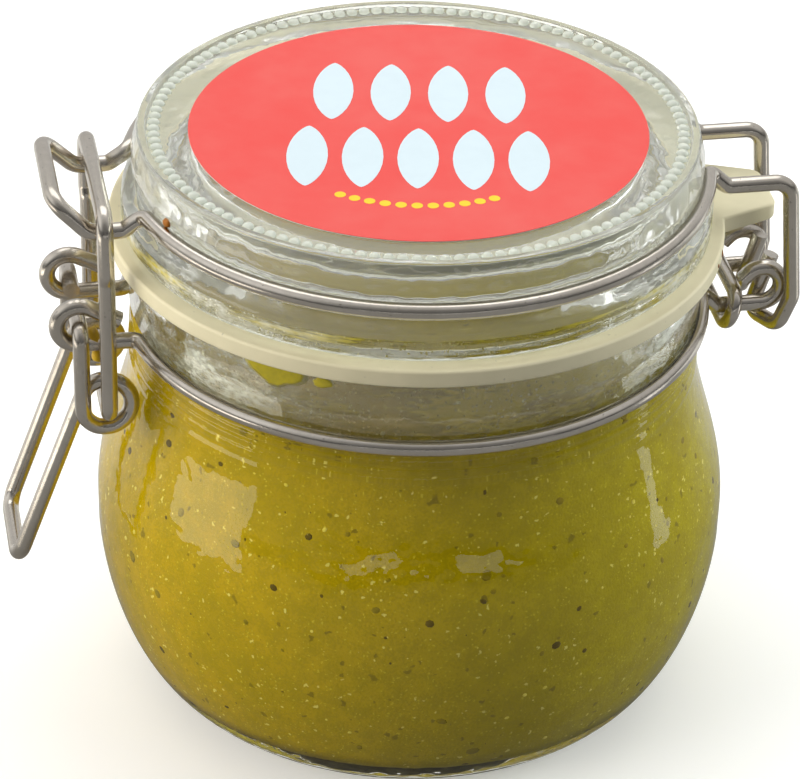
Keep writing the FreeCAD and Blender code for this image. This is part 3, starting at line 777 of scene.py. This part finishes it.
# ================= operators =================
class JARLOOK_OT_jar(bpy.types.Operator):
    """Turns the jar's glass, with its foot ring, mould rings and neck groove"""
    bl_idname = "jarlook.jar"
    bl_label = "Jar Glass"

    def execute(self, context):
        look = context.scene.jar_look
        glass = glass_material("jar_glass", look.tint, look.ripple, 0.035, 1.0, 0.18)
        piece = link_piece("jar", lathe("jar", jar_outline(), JAR_SEGMENTS), glass)
        place(piece, "jar", "glass", "jar_glass")
        return {"FINISHED"}


class JARLOOK_OT_lid(bpy.types.Operator):
    """Turns the glass lid and raises the ring of beads on its rim"""
    bl_idname = "jarlook.lid"
    bl_label = "Glass Lid"

    def execute(self, context):
        look, jar = context.scene.lid_look, context.scene.jar_look
        glass = glass_material("lid_glass", jar.tint, jar.ripple * 1.5, 0.05, look.clearness, 0.5)
        piece = link_piece("lid", lathe("lid", lid_outline(), JAR_SEGMENTS), glass)
        place(piece, "jar", "glass", "lid_glass")
        pearl = glass_material("bead_glass", (0.88, 0.91, 0.86), jar.ripple * 0.3, 0.05,
                               look.clearness * 0.80, 0.5)
        seed = bpy.data.meshes.new("bead_seed")
        beads = grown("lid_beads", seed, bead_ring_tree(), {
            "Beads": look.beads, "Ring Radius": BEAD_RING_R, "Bead Width": look.bead_width,
            "Bead Length": TAU * BEAD_RING_R / look.beads * BEAD_FILL, "Bead Height": BEAD_HEIGHT,
            "Rim Height": BEAD_Z}, pearl)
        place(beads, "jar", "glass")
        return {"FINISHED"}


class JARLOOK_OT_paste(bpy.types.Operator):
    """Fills the jar with paste that reaches just into the wall, with flecks on its face"""
    bl_idname = "jarlook.paste"
    bl_label = "Chilli Paste"

    def execute(self, context):
        look = context.scene.paste_look
        material = paste_material(look.colour)
        side = inner_outline(-INTO_WALL, PASTE_TOP_Z)
        top_r = side[-1][0]
        top = [(top_r * (1 - i / 26), PASTE_TOP_Z) for i in range(1, 27)]

        def uneven(point):
            if point.z < PASTE_TOP_Z - 1e-6:
                return point
            inward = min(1.0, (top_r - math.hypot(point.x, point.y)) / LEVEL_MARGIN)
            dip = look.unevenness * (0.9 + noise.fractal(point * 60, 0.9, 2.1, 4))
            return point - Vector((0, 0, max(0.0, dip) * inward))

        piece = link_piece("paste_body", lathe("paste_body", side + top, PASTE_SEGMENTS, uneven), material)
        place(piece, "jar", "paste", "paste")
        grains = scatter_tree()
        kinds = (
            ("dark_flecks", look.dark_flecks, 0.00025, 0.0017, 0.14, 11,
             (0.15, 0.10, 0.001), (0.10, 0.065, 0.001)),
            ("pale_flecks", look.pale_flecks, 0.00018, 0.00085, 0.22, 23,
             (0.86, 0.73, 0.15), (0.74, 0.60, 0.05)),
            ("green_flecks", look.dark_flecks * 1.2, 0.0003, 0.0022, 0.10, 37,
             (0.24, 0.18, 0.001), (0.32, 0.23, 0.001)))
        skin = lathe("fleck_ground", inner_outline(-INTO_WALL, PASTE_TOP_Z - FLECK_MARGIN), GROUND_SEGMENTS)
        for name, density, small, large, flatness, seed, colour, shade in kinds:
            finish = matt_material(name, colour, shade, 300.0, 0.6, shine=0.05)
            piece = grown(name, skin.copy(), grains, {
                "Density": density, "Smallest": small, "Largest": large, "Flatness": flatness,
                "Seed": seed}, finish)
            place(piece, "jar", "paste")
        return {"FINISHED"}


class JARLOOK_OT_gasket(bpy.types.Operator):
    """Dresses the rubber gasket"""
    bl_idname = "jarlook.gasket"
    bl_label = "Gasket"

    def execute(self, context):
        rubber = matt_material("cream_rubber", (0.82, 0.75, 0.52), (0.75, 0.69, 0.47), 45.0, 0.38, 0.15, 0.35)
        place(smooth_copy("gasket", "gasket_ring", rubber), "jar", "gasket", "gasket")
        return {"FINISHED"}


class JARLOOK_OT_wires(bpy.types.Operator):
    """Dresses every wire, each on the body that it moves with"""
    bl_idname = "jarlook.wires"
    bl_label = "Wires"

    def execute(self, context):
        look = context.scene.wire_look
        steel = steel_material(look.colour, look.tarnish)
        rides = (("lid_wire", "jar"), ("neck_wire_front", "jar"), ("neck_wire_back", "jar"),
                 ("hinge_link", "jar"), ("lever", "lever"), ("clamp", "clamp"))
        for node, body in rides:
            place(smooth_copy(node, node + "_steel", steel, 50), body, "wire", node)
        return {"FINISHED"}


class JARLOOK_OT_label(bpy.types.Operator):
    """Lays the round label in the lid, printed with plain generic shapes"""
    bl_idname = "jarlook.label"
    bl_label = "Label"

    def execute(self, context):
        look = context.scene.label_look
        shade = [look.paper[0]] + [c * 0.68 for c in look.paper[1:]]
        paper = matt_material("label_paper", look.paper, shade, 22.0, 0.5, 0.06)
        white = matt_material("label_backing", (0.86, 0.87, 0.86), (0.80, 0.81, 0.80), 50.0, 0.6, 0.05)
        middle = (LABEL_LOW.z + LABEL_HIGH.z) / 2
        place(self.disc("label_face", middle, LABEL_HIGH.z, paper), "jar", "label", "label")
        place(self.disc("label_backing", LABEL_LOW.z, middle, white), "jar", "label")
        pale = matt_material("pale_print", look.pale, [c * 0.96 for c in look.pale], 60.0, 0.35, 0.05)
        bright = matt_material("bright_print", look.bright, [c * 0.94 for c in look.bright], 60.0, 0.35, 0.05)
        place(self.print_piece("pale_shapes", self.pale_shapes(), pale), "jar", "label")
        place(self.print_piece("bright_shapes", self.bright_shapes(), bright), "jar", "label")
        return {"FINISHED"}

    def disc(self, name, low, high, material):
        outline = [(0, low), (LABEL_R, low), (LABEL_R, high), (0, high)]
        return flat_piece(name, lathe(name, outline, LABEL_SEGMENTS), material)

    def pale_shapes(self):
        """Two rows of plain leaf shapes, as (x, y, half width, half height, pointedness)."""
        shapes = []
        for y, count, pitch in LEAF_ROWS:
            for i in range(count):
                x = (i - (count - 1) / 2) * pitch
                shapes.append((x, y, LEAF_HALF_WIDTH, LEAF_HALF_HEIGHT, LEAF_POINTEDNESS))
        return shapes

    def bright_shapes(self):
        """An arc of dots, in the same form."""
        shapes = []
        for i in range(DOTS):
            turn = math.radians(-90 + (i - (DOTS - 1) / 2) * DOT_PITCH)
            shapes.append((DOT_ARC_R * math.cos(turn), DOT_ARC_R * math.sin(turn), DOT_R, DOT_R, 1.0))
        return shapes

    def print_piece(self, name, shapes, material):
        """Thin raised shapes that face the camera; pointedness 1 is an oval, and more is a leaf."""
        form = bmesh.new()
        facing = Matrix.Rotation(math.radians(AZIMUTH), 3, "Z")
        for x, y, half_width, half_height, pointedness in shapes:
            rings = []
            for z in (LABEL_HIGH.z - PRINT_SUNK, LABEL_HIGH.z + PRINT_RAISED):
                ring = []
                for i in range(PRINT_SIDES):
                    turn = TAU * i / PRINT_SIDES
                    c, s = math.cos(turn), math.sin(turn)
                    across = half_width * math.copysign(abs(c) ** pointedness, c)
                    ring.append(form.verts.new(facing @ Vector((x + across, y + half_height * s, z))))
                rings.append(ring)
            form.faces.new(rings[0][::-1])
            form.faces.new(rings[1])
            bridge(form, *rings)
        return flat_piece(name, to_mesh(name, form), material)


class JARLOOK_OT_residue(bpy.types.Operator):
    """Adds the smears, droplets and crumbs that filling left"""
    bl_idname = "jarlook.residue"
    bl_label = "Smears And Crumbs"

    def execute(self, context):
        self.dress_inside()
        self.dress_outside()
        return {"FINISHED"}

    def band(self, name, r, low, high, thickness, material):
        """A thin upright ring, with its second wall thickness away from r."""
        outline = [(r, low), (r, high), (r + thickness, high), (r + thickness, low)]
        mesh = lathe(name, outline, BAND_SEGMENTS, closed=True)
        place(link_piece(name, mesh, material), "jar", "paste")

    def blobs(self, name, material, *blobs):
        """Each blob is (radius, angle, z, width, height, thickness)."""
        place(blobs_piece(name, blobs, material), "jar", "paste")

    def dress_inside(self):
        film = film_material("neck_film", (0.36, 0.25, 0.05), 0.50, 0.45, 2.0)
        self.band("neck_film", FILM_R, PASTE_TOP_Z + 0.0004, MOUTH_Z - 0.0008, -FILM_THICKNESS, film)
        drops = matt_material("residue_drops", (0.66, 0.62, 0.38), (0.50, 0.46, 0.18), 200.0, 0.2)
        drop_r = FILM_R - FILM_THICKNESS
        wall = [(drop_r, PASTE_TOP_Z + 0.001), (drop_r, MOUTH_Z - 0.001)]
        place(grown("neck_drops", lathe("drop_ground", wall, BAND_SEGMENTS), scatter_tree(), {
            "Density": 50000.0, "Smallest": 0.00015, "Largest": 0.0008, "Flatness": 0.3,
            "Seed": 5}, drops), "jar", "paste")
        smear = matt_material("green_smear", (0.62, 0.50, 0.01), (0.44, 0.36, 0.01), 160.0, 0.4, shine=0.2)
        self.blobs("paste_smears", smear, (FILM_R, -129.5, 0.0792, 0.0105, 0.0056, 0.0003),
                   (FILM_R, -119, 0.0790, 0.0034, 0.0018, 0.0003))

    def dress_outside(self):
        skirt = film_material("skirt_film", (0.72, 0.60, 0.03), 0.85, 0.0, 3.2)
        low, high = LID_Z + 0.0010, LID_Z + FLANGE_HEIGHT - 0.0013
        self.band("skirt_film", SKIRT_R, low, high, SKIRT_THICKNESS, skirt)
        crumb = matt_material("yellow_crumb", (0.70, 0.45, 0.01), (0.60, 0.36, 0.01), 500.0, 0.4, 0.5)
        self.blobs("yellow_crumbs", crumb, (0.0544, -171.8, 0.0712, 0.0034, 0.0030, 0.0013),
                   (0.0538, -172.0, 0.0674, 0.0024, 0.0028, 0.0011))
        chilli = matt_material("red_brown_crumb", (0.42, 0.15, 0.005), (0.22, 0.06, 0.005), 500.0, 0.4, 0.5)
        self.blobs("chilli_crumbs", chilli, (BAND_R, -158, 0.0966, 0.0019, 0.0015, 0.0006),
                   (0.0503, -22, 0.0848, 0.0005, 0.0013, 0.0002),
                   (0.0503, -26, 0.0844, 0.0004, 0.0008, 0.0002))


class JARLOOK_OT_stage(bpy.types.Operator):
    """Sets the floor, the soft lamps, the pale surroundings and the camera"""
    bl_idname = "jarlook.stage"
    bl_label = "Stage"

    def execute(self, context):
        look = context.scene.stage_look
        self.floor(look)
        self.surroundings(context.scene, look)
        warm, plain, cool = (1.0, 0.95, 0.86), (1.0, 1.0, 1.0), (0.96, 1.0, 0.97)
        for name, spot, width, height, power, colour, mirrored in (
                ("key", (-0.92, -0.04, 0.40), 0.90, 0.70, 7.8, warm, False),
                ("fill", (0.85, 0.02, 0.40), 0.50, 0.70, 5.0, cool, False),
                ("top", (0.05, 0.40, 0.95), 1.00, 0.80, 3.4, plain, True),
                ("front_strip", (0.05, -0.90, 0.10), 1.30, 0.05, 0.24, plain, True),
                ("low_window", (-0.24, -0.04, 0.026), 0.14, 0.045, 0.038, warm, True),
                ("low_strip", (0.16, -0.04, 0.032), 0.022, 0.055, 0.006, plain, True)):
            self.lamp(name, spot, width, height, power * look.light, colour, mirrored)
        self.camera(context.scene)
        context.scene.view_settings.view_transform = "Standard"
        return {"FINISHED"}

    def floor(self, look):
        form = bmesh.new()
        bmesh.ops.create_grid(form, x_segments=8, y_segments=8, size=3.0)
        mesh = bpy.data.meshes.new("floor")
        form.to_mesh(mesh)
        form.free()
        material, tree, coords = new_material("pale_floor")
        path = add(tree, "ShaderNodeLightPath").outputs
        seen = maths(tree, "MAXIMUM", path["Is Camera Ray"], path["Is Transmission Ray"])
        behind = ramp(tree, add(tree, "ShaderNodeSeparateXYZ", {"Vector": coords}).outputs["Y"], 0.0, 0.12)
        grey = mixed(tree, behind, rgba([c * FLOOR_IN_FRONT for c in look.floor]),
                     rgba([c * FLOOR_BEHIND for c in look.floor]))
        surface = add(tree, "ShaderNodeBsdfPrincipled", {
            "Base Color": mixed(tree, seen, grey, rgba(look.floor)), "Roughness": 0.9,
            "Specular IOR Level": 0.0, "Emission Color": (1, 1, 1, 1),
            "Emission Strength": maths(tree, "MULTIPLY", seen, FLOOR_GLOW)})
        finish_material(tree, surface)
        link_piece("floor", mesh, material)

    def surroundings(self, scene, look):
        """White where it is seen, and a soft sky, dark low down and in front, for everything else."""
        world = bpy.data.worlds.new("surroundings")
        scene.world = world
        world.use_nodes = True
        tree = world.node_tree
        tree.nodes.clear()
        direction = add(tree, "ShaderNodeTexCoord").outputs["Generated"]
        split = add(tree, "ShaderNodeSeparateXYZ", {"Vector": direction}).outputs
        rise = maths(tree, "MULTIPLY_ADD", ramp(tree, split["Z"], 0.02, 0.45), 0.50, 0.10)
        back = maths(tree, "MULTIPLY", ramp(tree, split["Y"], 0.0, 0.6), 0.6)
        rise = maths(tree, "MAXIMUM", rise, back)
        front = maths(tree, "MULTIPLY_ADD", ramp(tree, split["Y"], -0.15, -0.85), -0.7, 1.0)
        left = maths(tree, "MULTIPLY_ADD", ramp(tree, split["X"], -0.35, -0.9), 0.6, 1.0)
        level = maths(tree, "MULTIPLY", maths(tree, "MULTIPLY", rise, front), left)
        level = maths(tree, "MULTIPLY", level, look.light)
        path = add(tree, "ShaderNodeLightPath").outputs
        seen = maths(tree, "MAXIMUM", path["Is Camera Ray"], path["Is Transmission Ray"])
        soft = add(tree, "ShaderNodeBackground", {"Color": (1, 1, 1, 1), "Strength": level})
        white = add(tree, "ShaderNodeBackground", {"Color": (1, 1, 1, 1), "Strength": 1.0})
        both = add(tree, "ShaderNodeMixShader", {0: seen, 1: soft.outputs[0], 2: white.outputs[0]})
        add(tree, "ShaderNodeOutputWorld", {"Surface": both.outputs[0]})

    def lamp(self, name, spot, width, height, power, colour, mirrored):
        data = bpy.data.lights.new(name, "AREA")
        data.shape = "RECTANGLE"
        data.size, data.size_y = width, height
        data.energy = power
        data.color = colour
        lamp = bpy.data.objects.new(name, data)
        bpy.context.scene.collection.objects.link(lamp)
        lamp.location = spot
        lamp.visible_glossy = mirrored
        lamp.rotation_mode = "QUATERNION"
        aim = Vector((0, 0, LAMP_AIM_Z)) - Vector(spot)
        lamp.rotation_quaternion = aim.to_track_quat("-Z", "Y")

    def camera(self, scene):
        """Looks down on the closure's side, rolled a little."""
        azimuth, elevation, roll = (math.radians(a) for a in (AZIMUTH, ELEVATION, ROLL))
        back = Vector((math.sin(azimuth) * math.cos(elevation), -math.cos(azimuth) * math.cos(elevation),
                       math.sin(elevation)))
        right = Vector((math.cos(azimuth), math.sin(azimuth), 0))
        up = back.cross(right)
        aim = Vector((0, 0, CAMERA_AIM_Z)) + right * CAMERA_AIM_ACROSS
        across = right * math.cos(roll) + up * math.sin(roll)
        upward = up * math.cos(roll) - right * math.sin(roll)
        data = bpy.data.cameras.new("camera")
        data.sensor_width = SENSOR_WIDTH
        data.lens = LENS
        camera = bpy.data.objects.new("camera", data)
        scene.collection.objects.link(camera)
        spot = aim + back * CAMERA_DISTANCE
        camera.matrix_world = Matrix((
            (across.x, upward.x, back.x, spot.x),
            (across.y, upward.y, back.y, spot.y),
            (across.z, upward.z, back.z, spot.z),
            (0, 0, 0, 1)))
        scene.camera = camera


PIECE_OPERATORS = (JARLOOK_OT_jar, JARLOOK_OT_lid, JARLOOK_OT_paste, JARLOOK_OT_gasket, JARLOOK_OT_wires,
                   JARLOOK_OT_label, JARLOOK_OT_residue, JARLOOK_OT_stage)
LOOKS = {"jar_look": JarLook, "lid_look": LidLook, "paste_look": PasteLook, "wire_look": WireLook,
         "label_look": LabelLook, "stage_look": StageLook}


class JARLOOK_PT_panel(bpy.types.Panel):
    """Lists the settings and the pieces"""
    bl_label = "Swing-Top Jar"
    bl_idname = "JARLOOK_PT_panel"
    bl_space_type = "VIEW_3D"
    bl_region_type = "UI"
    bl_category = "Swing-Top Jar"

    def draw(self, context):
        for name in LOOKS:
            box = self.layout.box()
            look = getattr(context.scene, name)
            for field in look.bl_rna.properties:
                if field.identifier not in {"rna_type", "name"}:
                    box.prop(look, field.identifier)
        for operator in PIECE_OPERATORS:
            self.layout.operator(operator.bl_idname)


def register():
    for kind in (*LOOKS.values(), *PIECE_OPERATORS, JARLOOK_PT_panel):
        bpy.utils.register_class(kind)
    for name, kind in LOOKS.items():
        setattr(bpy.types.Scene, name, PointerProperty(type=kind))


def unregister():
    for name in LOOKS:
        delattr(bpy.types.Scene, name)
    for kind in reversed((*LOOKS.values(), *PIECE_OPERATORS, JARLOOK_PT_panel)):
        bpy.utils.unregister_class(kind)


def main():
    register()
    bpy.ops.jarlook.jar()
    bpy.ops.jarlook.lid()
    bpy.ops.jarlook.paste()
    bpy.ops.jarlook.gasket()
    bpy.ops.jarlook.wires()
    bpy.ops.jarlook.label()
    bpy.ops.jarlook.residue()
    bpy.ops.jarlook.stage()


if __name__ == "__main__":
    main()
